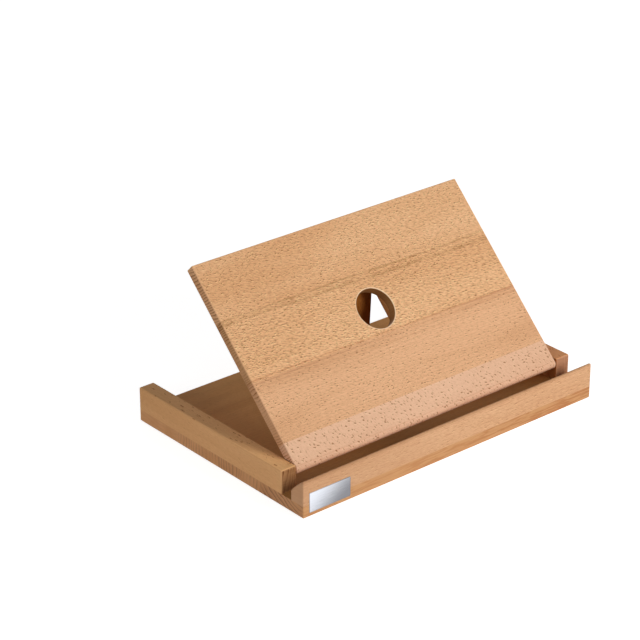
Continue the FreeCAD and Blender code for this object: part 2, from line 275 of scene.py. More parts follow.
def build_beech():
    """Oiled beech in a board's own axes, with the grain along X: its colour, roughness and surface height."""
    built, tree, given, out = start_group(
        "beech",
        {
            "Vector": (0.0, 0.0, 0.0),
            "Normal": (0.0, 0.0, 1.0),
            "Pale": (0.7, 0.5, 0.3, 1.0),
            "Deep": (0.5, 0.3, 0.2, 1.0),
            "Dark": (0.2, 0.1, 0.05, 1.0),
            "Fleck": (0.5, 0.3, 0.14, 1.0),
            "Pith": (0.0, 0.03, -0.12),
            "Ring Width": 0.004,
            "Ring Strength": 0.2,
            "Fleck Spacing": 0.0032,
            "Fleck Length": 0.003,
            "Fleck Width": 0.0008,
            "Fleck Slant": -0.3,
            "Fleck Spread": 0.9,
            "Fleck Amount": 0.6,
            "Fleck Strength": 0.7,
            "Fleck Rim": 1.0,
            "Fine Strength": 0.4,
            "Weave": 0.3,
            "End Darkness": 0.5,
            "End Lines": 0.5,
            "Seed": 0.0,
        },
        {"Color": "Color", "Roughness": "Float", "Height": "Float"},
    )
    vector = given["Vector"]
    parts = tree.parts(vector)
    facing = tree.parts(given["Normal"])
    rings = tree.group(
        year_rings, Vector=vector, Pith=given["Pith"], Ring_Width=given["Ring Width"], Seed=given["Seed"]
    )
    end_share = tree.ease(tree.math("ABSOLUTE", facing[0]), 0.55, 0.85)
    side_share = tree.minus(1.0, end_share)
    broad_face = tree.ease(tree.math("ABSOLUTE", facing[2]), 0.4, 0.75)
    narrow_face = tree.minus(1.0, broad_face)
    across = tree.plus(tree.times(parts[1], broad_face), tree.times(parts[2], narrow_face))

    # Broad tone along the grain, then fibre streaks and the lines of the year rings
    seeded = tree.joined(given["Seed"], 0.0, 0.0)
    long_drawn = tree.joined(tree.times(parts[0], 0.16), parts[1], parts[2])
    long_drawn = tree.vector("ADD", long_drawn, seeded)
    broad = tree.noise(long_drawn, 26.0, 3.0, 0.55, 0.4)
    fibre_drawn = tree.joined(tree.times(parts[0], 0.05), parts[1], parts[2])
    fibre = tree.noise(tree.vector("ADD", fibre_drawn, seeded), 520.0, 2.0)
    tone = tree.ease(broad, 0.3, 0.7)
    colour = tree.blend(tone, given["Pale"], given["Deep"])
    streak = tree.times(tree.ease(fibre, 0.45, 0.8), 0.22)
    colour = tree.blend(streak, colour, given["Deep"])
    ring_share = tree.times(rings["Line"], given["Ring Strength"])
    colour = tree.tint(tree.times(ring_share, side_share), colour, given["Fleck"])

    # The wavy weave of the fibres: narrow light and dark ripples at a slant to the grain
    lying = tree.times(given["Fleck Slant"], -1.0)
    wander = tree.times(tree.minus(tree.noise(vector, 60.0, 1.0), 0.5), 0.004)
    wandering = tree.joined(parts[0], tree.plus(across, wander), 0.0)
    rippled = tree.parts(tree.turn(wandering, tree.joined(0.0, 0.0, lying)))
    ripple_length = tree.plus(tree.times(rippled[0], 0.3), given["Seed"])
    weave = tree.noise(tree.joined(ripple_length, rippled[1], given["Seed"]), 760.0, 2.0, 0.55)
    pale_ripple = tree.times(tree.ease(weave, 0.5, 0.66), given["Weave"])
    dark_ripple = tree.times(tree.ease(weave, 0.5, 0.34), given["Weave"])
    colour = tree.blend(pale_ripple, colour, pale_fibre, "SOFT_LIGHT")
    colour = tree.tint(tree.times(dark_ripple, side_share), colour, given["Fleck"])

    # Ray flecks, a bold sort and a fine one, crowded in some places and sparse in others
    crowd = tree.ease(tree.noise(long_drawn, 50.0, 2.0), 0.35, 0.6, 0.45, 1.0)
    bold = tree.group(
        ray_flecks, Along=parts[0], Across=across, Spacing=given["Fleck Spacing"],
        Length=given["Fleck Length"], Width=given["Fleck Width"], Slant=given["Fleck Slant"],
        Spread=given["Fleck Spread"], Amount=tree.times(given["Fleck Amount"], crowd), Seed=given["Seed"],
    )
    fine = tree.group(
        ray_flecks, Along=parts[0], Across=across, Spacing=0.0017, Length=0.0018, Width=0.0005,
        Slant=given["Fleck Slant"], Spread=given["Fleck Spread"], Amount=0.8,
        Seed=tree.plus(given["Seed"], 7.0),
    )
    bold_share = tree.times(bold["Mask"], given["Fleck Strength"])
    fine_share = tree.times(fine["Mask"], given["Fine Strength"])
    fleck_share = tree.times(tree.math("MAXIMUM", bold_share, fine_share), side_share)
    bold_rim = tree.times(bold["Pale"], given["Fleck Strength"])
    fine_rim = tree.times(fine["Pale"], given["Fine Strength"])
    rim_share = tree.times(tree.math("MAXIMUM", bold_rim, fine_rim), given["Fleck Rim"])
    colour = tree.blend(tree.times(rim_share, side_share), colour, pale_fibre, "SOFT_LIGHT")
    colour = tree.tint(fleck_share, colour, given["Fleck"])

    # End grain drinks more oil: darker, with the rings as bands and the rays as fine spokes
    end_colour = tree.blend(given["End Darkness"], colour, given["Dark"])
    patchy = tree.ease(tree.noise(tree.vector("ADD", vector, seeded), 34.0, 1.0), 0.42, 0.6, 0.3, 1.0)
    end_line = tree.times(tree.times(rings["Line"], patchy), given["End Lines"])
    end_colour = tree.blend(end_line, end_colour, given["Dark"])
    spoke = tree.ease(rings["Ray"], 0.52, 0.75, 0.0, 0.16)
    end_colour = tree.blend(spoke, end_colour, given["Pale"])
    tree.feed(out["Color"], tree.blend(end_share, colour, end_colour))

    shine = tree.plus(0.52, tree.times(fibre, 0.16))
    tree.feed(out["Roughness"], tree.plus(shine, tree.times(end_share, 0.12)))
    ripple_height = tree.times(tree.times(weave, given["Weave"]), 1.6)
    relief = tree.plus(tree.times(fibre, 0.4), ripple_height)
    fleck_depth = tree.times(tree.times(fleck_share, given["Fleck Rim"]), 0.4)
    tree.feed(out["Height"], tree.minus(relief, fleck_depth))
    return built


def build_drawn_metal():
    """Fine lines drawn along X, as a mask, with a slow change of tone under them."""
    built, tree, given, out = start_group(
        "drawn_metal",
        {"Vector": (0.0, 0.0, 0.0), "Fineness": 4000.0},
        {"Line": "Float", "Tone": "Float"},
    )
    parts = tree.parts(given["Vector"])
    drawn = tree.joined(tree.times(parts[0], 0.02), parts[1], parts[2])
    tree.feed(out["Line"], tree.noise(drawn, given["Fineness"], 3.0, 0.6))
    tree.feed(out["Tone"], tree.noise(given["Vector"], 30.0, 2.0))
    return built


# The light on raised fibres and on the rims of flecks, for a soft-light mix
pale_fibre = (1.0, 0.93, 0.8, 1.0)
ray_flecks = build_ray_flecks()
year_rings = build_year_rings()
arris = build_arris()
beech = build_beech()
drawn_metal = build_drawn_metal()


def srgb(red, green, blue):
    """A colour as it looks on screen, in 0 to 255, as the linear values that a shader takes."""
    linear = []
    for value in (red, green, blue):
        share = value / 255
        linear.append(share / 12.92 if share <= 0.04045 else ((share + 0.055) / 1.055) ** 2.4)
    return (*linear, 1.0)


def empty_tree(owner):
    """The node tree of a material or a world, with nothing in it."""
    owner.use_nodes = True
    owner.node_tree.nodes.clear()
    return Tree(owner.node_tree)


def start_material(name):
    """A new material with a Principled shader, its tree and the shader's sockets."""
    made = bpy.data.materials.new(name)
    tree = empty_tree(made)
    surface = tree.node("BsdfPrincipled")
    output = tree.node("OutputMaterial")
    tree.feed(output.inputs["Surface"], surface.outputs[0])
    return made, tree, surface.inputs


def add_bump(tree, surface, height, strength, distance):
    """Relief from a height that changes over the surface."""
    bump = tree.node("Bump")
    bump.inputs["Strength"].default_value = strength
    bump.inputs["Distance"].default_value = distance
    tree.feed(bump.inputs["Height"], height)
    tree.feed(surface["Normal"], bump.outputs[0])


def place(tree, origin, angles):
    """A point and its normal in the axes of a board at an origin, with the grain along X."""
    coordinates = tree.node("TexCoord")
    vector = tree.vector("SUBTRACT", coordinates.outputs["Object"], tuple(origin))
    normal = coordinates.outputs["Normal"]
    for turned in angles:
        vector = tree.turn(vector, turned)
        normal = tree.turn(normal, turned)
    return vector, normal


def joined_box(nodes, origin, angles):
    """The box of several nodes in a board's own axes."""
    points = []
    for name in nodes:
        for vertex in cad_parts[name].data.vertices:
            point = vertex.co - origin
            for turned in angles:
                point.rotate(Euler(turned))
            points.append(point)
    low = tuple(min(point[axis] for point in points) for axis in range(3))
    high = tuple(max(point[axis] for point in points) for axis in range(3))
    return low, high


def beech_board(name, origin, angles, box_nodes, pale, deep, dark, marks=None, arris_share=0.4, **values):
    """Beech for one board. The lines along its edges are a little paler: painted highlight on their rounding,
    and wear where they are sanded most.
    """
    made, tree, surface = start_material(name)
    vector, normal = place(tree, origin, angles)
    wood = tree.group(beech, Vector=vector, Normal=normal, Pale=pale, Deep=deep, Dark=dark, **values)
    low, high = joined_box(box_nodes, origin, angles)
    edge = tree.group(arris, Vector=vector, Low=low, High=high, Width=0.0016)
    # Painted highlight and wear: the edge lines blend towards the pale colour.
    colour = tree.blend(tree.times(edge["Mask"], arris_share), wood["Color"], pale)
    # The marks function adds a board's own marks, and on some boards painted light and shade.
    if marks:
        colour = marks(tree, vector, normal, colour)
    tree.feed(surface["Base Color"], colour)
    tree.feed(surface["Roughness"], wood["Roughness"])
    surface["Specular IOR Level"].default_value = 0.08
    add_bump(tree, surface, wood["Height"], strength=0.35, distance=0.0003)
    return made


# How each board lies: turns that bring its grain to X and its broad face to Z
flat = [(0.0, 0.0, 0.0)]
grain_to_back = [(0.0, 0.0, -quarter_turn)]
tilted = [(-reading_angle, 0.0, 0.0)]
tilted_grain_up = [(-reading_angle, 0.0, 0.0), (0.0, 0.0, -quarter_turn)]
standing = [(-(quarter_turn - prop_lean), 0.0, 0.0), (0.0, 0.0, -quarter_turn)]
frame_origin = Vector((0, 0, 0))

stave_numbers = range(1, 5)
base_nodes = [f"base_stave_{number}" for number in stave_numbers]
panel_nodes = [f"panel_stave_{number}" for number in stave_numbers]


def finish_node(node, material):
    """Gives a solid of the frame its finish."""
    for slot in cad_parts[node].material_slots:
        slot.material = material


def faces_up(tree, normal):
    """How far a face is turned towards the board's own Z, as a share."""
    return tree.ease(tree.parts(normal)[2], 0.6, 0.9)


def streak_share(tree, vector, height, drop, width):
    """A wavering streak along the grain at a height in the board, which drops towards the right end."""
    parts = tree.parts(vector)
    along = tree.ease(parts[0], -stand_half_width, stand_half_width)
    line = tree.minus(height, tree.times(along, drop))
    drawn = tree.joined(tree.times(parts[0], 0.35), parts[1], 0.0)
    wander = tree.times(tree.minus(tree.noise(drawn, 60.0, 3.0), 0.5), 0.0015 + width)
    away = tree.math("ABSOLUTE", tree.plus(tree.minus(parts[1], line), wander))
    share = tree.minus(1.0, tree.ease(away, 0.0, width))
    broken = tree.ease(tree.noise(tree.joined(parts[0], 0.0, height), 45.0, 2.0), 0.35, 0.6, 0.45, 1.0)
    return tree.times(share, broken)


# Heights up the panel from its hinge axis: just above two joints of its staves, and the finger hole's middle
upper_joint_height = 0.1432
lower_joint_height = 0.0824
finger_hole_height = 0.1072
finger_hole_radius = 0.02
olive_tint = (0.5, 0.4, 0.22, 1.0)
reddish_tint = (0.62, 0.33, 0.2, 1.0)


def upper_joint_marks(tree, vector, normal, colour):
    """The thin olive line that follows the joint above the finger hole."""
    line = streak_share(tree, vector, upper_joint_height, 0.0015, 0.0016)
    return tree.tint(tree.times(line, 0.52), colour, olive_tint)


def under_upper_joint_marks(tree, vector, normal, colour):
    """The olive band just under that joint, with a second thin line in it that drops towards the right."""
    for below, drop, width, strength in ((0.003, 0.005, 0.0045, 0.24), (0.004, 0.0052, 0.0014, 0.3)):
        streak = streak_share(tree, vector, upper_joint_height - below, drop, width)
        colour = tree.tint(tree.times(streak, strength), colour, olive_tint)
    return colour


def lower_joint_marks(tree, vector, normal, colour):
    """Thin reddish lines on both sides of the joint below the finger hole, in a faint band."""
    for above, drop, width, strength in (
        (0.0016, 0.0018, 0.0013, 0.42), (-0.002, 0.003, 0.0013, 0.24), (-0.0062, 0.0058, 0.0013, 0.14),
        (0.001, 0.003, 0.0036, 0.08),
    ):
        streak = streak_share(tree, vector, lower_joint_height + above, drop, width)
        colour = tree.tint(tree.times(streak, strength), colour, reddish_tint)
    return colour


def finger_hole_streaks_and_light(tree, vector, normal, colour):
    """The streaks of both joints, a painted highlight as a pale ring about the finger hole, and painted shade
    on its wall.
    """
    for marks in (upper_joint_marks, under_upper_joint_marks, lower_joint_marks):
        colour = marks(tree, vector, normal, colour)
    parts = tree.parts(tree.vector("SUBTRACT", vector, (0.0, finger_hole_height, 0.0)))
    radius = tree.vector("LENGTH", tree.joined(parts[0], parts[1], 0.0))
    past_wall = tree.ease(radius, finger_hole_radius, finger_hole_radius + 0.0003)
    # Painted shade on the hole's wall, darker towards its top, with patches.
    shaded_wall = tree.blend(tree.ease(parts[1], -0.005, 0.016), srgb(160, 113, 66), srgb(126, 81, 40))
    patchy = tree.ease(tree.noise(vector, 120.0, 2.0), 0.3, 0.7, 0.0, 0.2)
    shaded_wall = tree.blend(patchy, shaded_wall, srgb(120, 76, 40))
    colour = tree.blend(tree.times(tree.minus(1.0, past_wall), 0.9), colour, shaded_wall)
    # Painted highlight: a pale ring about the hole's rim.
    past_ring = tree.ease(radius, finger_hole_radius + 0.0004, finger_hole_radius + 0.0014)
    ring = tree.times(past_wall, tree.minus(1.0, past_ring))
    return tree.blend(tree.times(ring, 0.8), colour, srgb(255, 226, 190))


def rounded_edge_shade_and_line(tree, vector, normal, colour):
    """The panel's rounded lower edge: painted shade that deepens as it turns under, with a thin line where it
    starts.
    """
    parts = tree.parts(vector)
    # Painted shade: the rounding darkens, most where it turns under.
    shaded_rounding = tree.minus(1.0, tree.ease(parts[1], -0.0024, -0.0006))
    colour = tree.tint(shaded_rounding, colour, (0.93, 0.92, 0.92, 1.0))
    under = tree.times(shaded_rounding, tree.ease(parts[2], -0.001, 0.0035, 1.0, 0.0))
    colour = tree.tint(under, colour, (0.66, 0.58, 0.55, 1.0))
    start = tree.minus(1.0, tree.ease(tree.math("ABSOLUTE", parts[1]), 0.0002, 0.0009))
    return tree.tint(tree.times(start, 0.16), colour, reddish_tint)


def finish_panel():
    """The panel's four staves, from the pale one at its lower edge upward."""
    looks = [
        dict(
            pale=srgb(237, 192, 158), deep=srgb(227, 180, 146), dark=srgb(140, 84, 46),
            Fleck_Spacing=0.0034, Fleck_Length=0.0027, Fleck_Width=0.0012, Fleck_Slant=-0.9,
            Fleck_Spread=1.5, Fleck_Amount=0.95, Fleck_Strength=0.9, Fleck_Rim=0.3, Fine_Strength=0.3,
            Weave=0.1, Ring_Strength=0.03, End_Darkness=0.28, marks=rounded_edge_shade_and_line,
        ),
        dict(
            pale=srgb(236, 184, 141), deep=srgb(220, 167, 124), dark=srgb(150, 92, 50),
            Fleck_Spacing=0.003, Fleck_Length=0.0024, Fleck_Width=0.0008, Fleck_Slant=-0.3,
            Fleck_Spread=1.1, Fleck_Amount=0.8, Fleck_Strength=0.95, Fleck_Rim=0.6, Fine_Strength=0.55,
            Weave=0.13, Ring_Strength=0.2, End_Darkness=0.28, marks=lower_joint_marks,
        ),
        dict(
            pale=srgb(239, 187, 140), deep=srgb(228, 173, 126), dark=srgb(138, 86, 40),
            Fleck_Spacing=0.0024, Fleck_Length=0.0025, Fleck_Width=0.0008, Fleck_Slant=-0.3,
            Fleck_Spread=0.9, Fleck_Amount=0.9, Fleck_Strength=1.0, Fine_Strength=0.85,
            Weave=0.36, Ring_Strength=0.12, End_Darkness=0.45, marks=finger_hole_streaks_and_light,
        ),
        dict(
            pale=srgb(239, 188, 142), deep=srgb(226, 171, 124), dark=srgb(150, 98, 64),
            Fleck_Spacing=0.0025, Fleck_Length=0.0023, Fleck_Width=0.0008, Fleck_Slant=-0.3,
            Fleck_Spread=1.4, Fleck_Amount=0.85, Fleck_Strength=0.95, Fine_Strength=0.7,
            Weave=0.28, Ring_Strength=0.08, End_Darkness=0.18, marks=upper_joint_marks,
        ),
    ]
    for number, (node, look) in enumerate(zip(panel_nodes, looks), start=1):
        material = beech_board(
            "beech_" + node, hinge_axis, tilted, panel_nodes,
            Seed=1.7 * number, Pith=(0.0, -0.16, 0.03 - 0.02 * number), Ring_Width=0.0026,
            End_Lines=1.6, arris_share=0.55, Fleck=(0.36, 0.2, 0.08, 1.0), **look,
        )
        finish_node(node, material)


def base_front_shade_and_streaks(tree, vector, normal, colour):
    """The first stave: painted shade that makes its top browner, deepest at the back and right corner of the
    trough; redder on its front, with flame-like streaks.
    """
    parts = tree.parts(vector)
    upward = faces_up(tree, normal)
    colour = base_end_tint_and_shade(tree, vector, normal, colour)
    # Painted shade over the stave's top, which lies in the trough.
    colour = tree.tint(tree.times(upward, 0.9), colour, (0.8, 0.72, 0.72, 1.0))
    # Painted shade that deepens towards the back under the panel, more so to the right and in the right
    # corner.
    shade_depth = tree.ease(parts[1], -0.086, -0.068)
    painted_shade = tree.times(upward, shade_depth)
    rightward = tree.ease(parts[0], 0.05, 0.1, 0.68, 1.0)
    corner_shade = tree.ease(parts[0], 0.12, 0.158)
    colour = tree.tint(tree.times(painted_shade, rightward), colour, (0.6, 0.51, 0.44, 1.0))
    colour = tree.tint(tree.times(painted_shade, corner_shade), colour, (1.0, 0.82, 0.73, 1.0))
    facing = tree.ease(tree.times(tree.parts(normal)[1], -1.0), 0.6, 0.9)
    drawn = tree.joined(tree.times(parts[0], 0.08), 0.0, parts[2])
    flame = tree.ease(tree.noise(drawn, 420.0, 3.0, 0.6, 0.6), 0.42, 0.62)
    redder = tree.ease(parts[0], -0.1, 0.17, 0.3, 0.55)
    colour = tree.blend(tree.times(facing, 0.8), colour, srgb(203, 153, 109))
    return tree.tint(tree.times(tree.times(facing, flame), redder), colour, reddish_tint)


def base_end_tint_and_shade(tree, vector, normal, colour):
    """The board's ends are a little pinker than its faces, and painted shade makes its top darker and less
    red under the panel.
    """
    sideways = tree.ease(tree.math("ABSOLUTE", tree.parts(normal)[0]), 0.6, 0.9)
    colour = tree.tint(sideways, colour, (1.0, 1.0, 1.3, 1.0))
    upward = faces_up(tree, normal)
    # Painted shade on the top under the panel, darker and less red.
    shade_under_panel = tree.ease(tree.parts(vector)[1], -0.04, 0.06, 1.0, 0.0)
    return tree.tint(tree.times(upward, shade_under_panel), colour, (0.88, 0.95, 0.9, 1.0))


def finish_base():
    """The base board's staves. Each has its own pith, which gives its ends their own rings."""
    pith_places = [(0.0, 0.06), (-0.12, -0.01), (0.22, 0.01), (0.03, 0.09)]
    end_looks = [(0.32, 1.0), (0.2, 0.65), (0.15, 0.5), (0.12, 0.15)]
    for number, node in enumerate(base_nodes, start=1):
        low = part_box(node)[0]
        pith_y, pith_z = pith_places[number - 1]
        end_darkness, end_lines = end_looks[number - 1]
        material = beech_board(
            "beech_" + node, frame_origin, flat, base_nodes,
            srgb(236, 176, 110), srgb(222, 161, 96), srgb(116, 72, 50), arris_share=0.15,
            marks=base_front_shade_and_streaks if number == 1 else base_end_tint_and_shade,
            Fleck_Amount=0.5, Fleck_Strength=0.3, Fine_Strength=0.15, Weave=0.1,
            Pith=(0.0, low.y + pith_y, pith_z), Ring_Width=0.0042, Ring_Strength=0.12,
            End_Darkness=end_darkness, End_Lines=end_lines, Seed=20.0 + 2.3 * number,
        )
        finish_node(node, material)


def rail_marks(tree, vector, normal, colour):
    """Bold dark dashes scattered along the rail's top."""
    parts = tree.parts(vector)
    dashes = tree.group(
        ray_flecks, Along=parts[0], Across=parts[1], Spacing=0.0042, Length=0.0058, Width=0.0014,
        Slant=-0.3, Spread=0.7, Amount=0.32, Seed=5.0,
    )
    share = tree.times(tree.times(dashes["Mask"], faces_up(tree, normal)), 0.75)
    return tree.tint(share, colour, (0.5, 0.28, 0.16, 1.0))


def left_rail_light_and_dashes(tree, vector, normal, colour):
    """Painted light: the left rail's top is a little paler than its sides."""
    colour = tree.tint(faces_up(tree, normal), colour, (1.2, 1.25, 1.22, 1.0))
    return rail_marks(tree, vector, normal, colour)


def right_rail_tints_and_shade(tree, vector, normal, colour):
    """The right rail is redder on top and pinker at its end, with painted shade on its inner face beside the
    panel's lower edge.
    """
    parts = tree.parts(vector)
    facing = tree.parts(normal)
    colour = tree.tint(faces_up(tree, normal), colour, (0.97, 0.84, 0.86, 1.0))
    endward = tree.ease(tree.math("ABSOLUTE", facing[0]), 0.5, 0.9)
    colour = tree.tint(endward, colour, (0.93, 0.88, 1.12, 1.0))
    # Painted shade on the inner face, near its front end beside the panel's lower edge.
    shade_inside = tree.times(tree.ease(facing[1], 0.6, 0.9), tree.ease(parts[0], -0.08, -0.066, 1.0, 0.0))
    colour = tree.tint(shade_inside, colour, (0.42, 0.26, 0.16, 1.0))
    return rail_marks(tree, vector, normal, colour)


def finish_rails():
    """The rails, with how dark and how strongly ringed each one's ends are."""
    looks = {"left_rail": (0.62, 2.0, left_rail_light_and_dashes), "right_rail": (0.36, 0.5, right_rail_tints_and_shade)}
    for number, (node, (darkness, end_lines, marks)) in enumerate(looks.items()):
        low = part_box(node)[0]
        material = beech_board(
            "beech_" + node, frame_origin, grain_to_back, [node],
            srgb(232, 176, 122), srgb(220, 163, 109), srgb(92, 48, 16), marks=marks,
            Fleck_Spacing=0.006, Fleck_Length=0.004, Fleck_Width=0.0009, Fleck_Slant=0.1, Fleck_Spread=0.4,
            Fleck_Amount=0.4, Fleck_Strength=0.3, Fine_Strength=0.1, Weave=0.1,
            Pith=(0.0, -low.x + 0.08, 0.03), Ring_Width=0.0034, Ring_Strength=0.1,
            End_Darkness=darkness, End_Lines=end_lines, Seed=40.0 + 3.1 * number,
        )
        finish_node(node, material)


def lip_shade_and_lines(tree, vector, normal, colour):
    """The lip: painted shade on its rounded top edge, a thin line under it, fine lines of the grain, and
    painted shade towards its left end.
    """
    parts = tree.parts(vector)
    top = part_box("front_lip")[1].z
    forward = tree.ease(tree.times(tree.parts(normal)[1], -1.0), 0.5, 0.8)
    drawn = tree.joined(tree.times(parts[0], 0.06), 0.0, parts[2])
    lines = tree.ease(tree.noise(drawn, 900.0, 2.0), 0.5, 0.7)
    below_top = tree.math("ABSOLUTE", tree.minus(parts[2], top - 0.0028))
    under = tree.minus(1.0, tree.ease(below_top, 0.0002, 0.0009))
    share = tree.math("MAXIMUM", tree.times(lines, 0.24), tree.times(under, 0.22))
    colour = tree.tint(tree.times(share, forward), colour, reddish_tint)
    # Painted shade that deepens towards the left end, so the lip brightens to the right.
    colour = tree.blend(tree.ease(parts[0], -0.17, 0.12, 0.4, 0.0), colour, srgb(196, 146, 108))
    # Painted shade on the rounded top edge.
    shaded_rounding = tree.ease(parts[2], top - 0.0026, top - 0.0008)
    return tree.tint(shaded_rounding, colour, (0.79, 0.74, 0.69, 1.0))


def finish_lip():
    material = beech_board(
        "beech_front_lip", frame_origin, flat, ["front_lip"],
        srgb(230, 183, 142), srgb(217, 167, 126), srgb(140, 86, 50), marks=lip_shade_and_lines, arris_share=0.15,
        Fleck_Spacing=0.004, Fleck_Length=0.0042, Fleck_Width=0.001, Fleck_Slant=-0.1, Fleck_Spread=0.5,
        Fleck_Amount=0.7, Fleck_Strength=0.5, Fine_Strength=0.4, Weave=0.16,
        Pith=(0.0, -0.05, 0.1), Ring_Width=0.003, Ring_Strength=0.12, End_Darkness=0.1,
        End_Lines=0.05, Seed=60.0,
    )
    finish_node("front_lip", material)


def prop_painted_shade(tree, vector, normal, colour):
    """Painted shade on the prop's face towards the panel, which the light seldom reaches."""
    return tree.tint(faces_up(tree, normal), colour, (0.52, 0.4, 0.24, 1.0))


def finish_battens_and_prop():
    for number, node in enumerate(("left_batten", "right_batten")):
        material = beech_board(
            "beech_" + node, hinge_axis, tilted_grain_up, [node],
            srgb(226, 166, 106), srgb(208, 146, 88), srgb(110, 62, 28),
            Pith=(0.0, 0.02, -0.08), Ring_Width=0.003, Ring_Strength=0.2, End_Lines=0.7,
            Seed=70.0 + 2.9 * number,
        )
        finish_node(node, material)
    material = beech_board(
        "beech_prop", pivot_axis, standing, ["prop"],
        srgb(222, 160, 98), srgb(202, 140, 80), srgb(104, 58, 24), marks=prop_painted_shade,
        Pith=(0.0, 0.0, -0.06), Ring_Width=0.004, Ring_Strength=0.25, End_Lines=0.7, Seed=80.0,
    )
    finish_node("prop", material)


def metal_material(name, pale, deep, roughness, fineness, line_share, bump_strength):
    """Metal with drawn lines along X."""
    made, tree, surface = start_material(name)
    coordinates = tree.node("TexCoord")
    lines = tree.group(drawn_metal, Vector=coordinates.outputs["Object"], Fineness=fineness)
    share = tree.plus(tree.times(lines["Line"], line_share), tree.times(lines["Tone"], 1.0 - line_share))
    share = tree.ease(share, 0.3, 0.7)
    tree.feed(surface["Base Color"], tree.blend(share, deep, pale))
    tree.feed(surface["Roughness"], tree.plus(roughness, tree.times(lines["Line"], 0.12)))
    surface["Metallic"].default_value = 1.0
    add_bump(tree, surface, lines["Line"], strength=bump_strength, distance=0.00005)
    return made


def plate_material():
    """The blank plate: brushed along its length, with a painted reflection brightest at its upper left
    corner, and darker along its rim.
    """
    made, tree, surface = start_material("brushed_plate")
    low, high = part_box("label_plate")
    vector = tree.node("TexCoord").outputs["Object"]
    parts = tree.parts(vector)
    rightward = tree.math("DIVIDE", tree.minus(parts[0], low.x), high.x - low.x)
    downward = tree.math("DIVIDE", tree.minus(high.z, parts[2]), high.z - low.z)
    # Painted reflection: bright at the upper left corner, fading to the right and downward.
    reflection_falloff = tree.plus(tree.times(rightward, 0.72), tree.times(downward, 0.42))
    lines = tree.group(drawn_metal, Vector=vector, Fineness=4000.0)
    reflection_falloff = tree.plus(reflection_falloff, tree.times(tree.minus(lines["Line"], 0.5), 0.5))
    colour = tree.blend(tree.ease(reflection_falloff, 0.05, 1.0), srgb(226, 230, 238), srgb(132, 134, 140))
    edge = tree.group(arris, Vector=vector, Low=tuple(low), High=tuple(high), Width=0.0009)
    colour = tree.blend(tree.times(edge["Mask"], 0.35), colour, srgb(120, 120, 126))
    tree.feed(surface["Base Color"], colour)
    tree.feed(surface["Roughness"], tree.plus(0.3, tree.times(lines["Line"], 0.12)))
    surface["Metallic"].default_value = 1.0
    add_bump(tree, surface, lines["Line"], strength=0.3, distance=0.00005)
    return made


def rubber_material():
    """Grey rubber with a fine moulded grain."""
    made, tree, surface = start_material("anti_slip_rubber")
    coordinates = tree.node("TexCoord")
    grain = tree.noise(coordinates.outputs["Object"], 2500.0, 2.0)
    shade = tree.ease(grain, 0.3, 0.7)
    tree.feed(surface["Base Color"], tree.blend(shade, srgb(58, 58, 60), srgb(84, 84, 86)))
    tree.feed(surface["Roughness"], tree.ease(grain, 0.2, 0.8, 0.75, 0.95))
    add_bump(tree, surface, grain, strength=0.4, distance=0.0001)
    return made


def add_turned(shape, profile, to_place, segments=32):
    """Adds a turned shape to a mesh from pairs of radius and height, and returns its first ring."""
    rings = []
    for radius, height in profile:
        ring = []
        for step in range(segments if radius > 0 else 1):
            angle = 2 * math.pi * step / segments
            point = Vector((radius * math.cos(angle), radius * math.sin(angle), height))
            ring.append(shape.verts.new(to_place @ point))
        rings.append(ring)
    for lower, upper in zip(rings, rings[1:]):
        for step in range(segments):
            after = (step + 1) % segments
            corners = [lower[step % len(lower)], lower[after % len(lower)],
                       upper[after % len(upper)], upper[step % len(upper)]]
            unique = list(dict.fromkeys(corners))
            shape.faces.new(unique)
    return rings[0]


def add_screw(shape, to_place, head_radius, shank_radius, length):
    """A countersunk screw along its own Z: a flat head with a cross recess, a cone, a thread and a point."""
    thread_pitch = 0.42 * shank_radius * 2
    core_radius = 0.7 * shank_radius
    cone_end = head_radius - shank_radius
    profile = [(0.97 * head_radius, 0.0), (head_radius, 0.03 * head_radius), (shank_radius, cone_end)]
    height = cone_end + 0.12 * length
    profile.append((shank_radius, height))
    point_start = length - 2.2 * shank_radius
    while height + thread_pitch < point_start:
        profile.append((core_radius, height + 0.3 * thread_pitch))
        profile.append((core_radius, height + 0.55 * thread_pitch))
        profile.append((shank_radius, height + 0.85 * thread_pitch))
        height += thread_pitch
        profile.append((shank_radius, height))
    profile.append((core_radius, point_start))
    profile.append((0.0, length))
    rim = add_turned(shape, profile, to_place)

    arm_width = 0.17 * head_radius
    arm_reach = 0.6 * head_radius
    corner = [(arm_reach, -arm_width), (arm_reach, arm_width), (arm_width, arm_width)]
    outline = []
    for quarter in range(4):
        turned = Matrix.Rotation(quarter * quarter_turn, 3, "Z")
        outline += [turned @ Vector((x, y, 0.0)) for x, y in corner]
    mouth = [shape.verts.new(to_place @ point) for point in outline]
    floor_height = 0.45 * head_radius
    floor = []
    for point in outline:
        drawn_in = Vector((0.55 * point.x, 0.55 * point.y, floor_height))
        floor.append(shape.verts.new(to_place @ drawn_in))
    mouth_edges = []
    for step in range(len(mouth)):
        after = (step + 1) % len(mouth)
        shape.faces.new([mouth[step], mouth[after], floor[after], floor[step]])
        mouth_edges.append(shape.edges.get((mouth[step], mouth[after])))
    shape.faces.new(floor)
    rim_edges = [shape.edges.get((rim[step], rim[step - 1])) for step in range(len(rim))]
    bmesh.ops.triangle_fill(shape, use_beauty=True, edges=rim_edges + mouth_edges)


def add_object(name, data):
    made = bpy.data.objects.new(name, data)
    bpy.context.scene.collection.objects.link(made)
    return made


# Faces that meet at more than this keep a sharp edge between them
sharp_angle = math.radians(32)


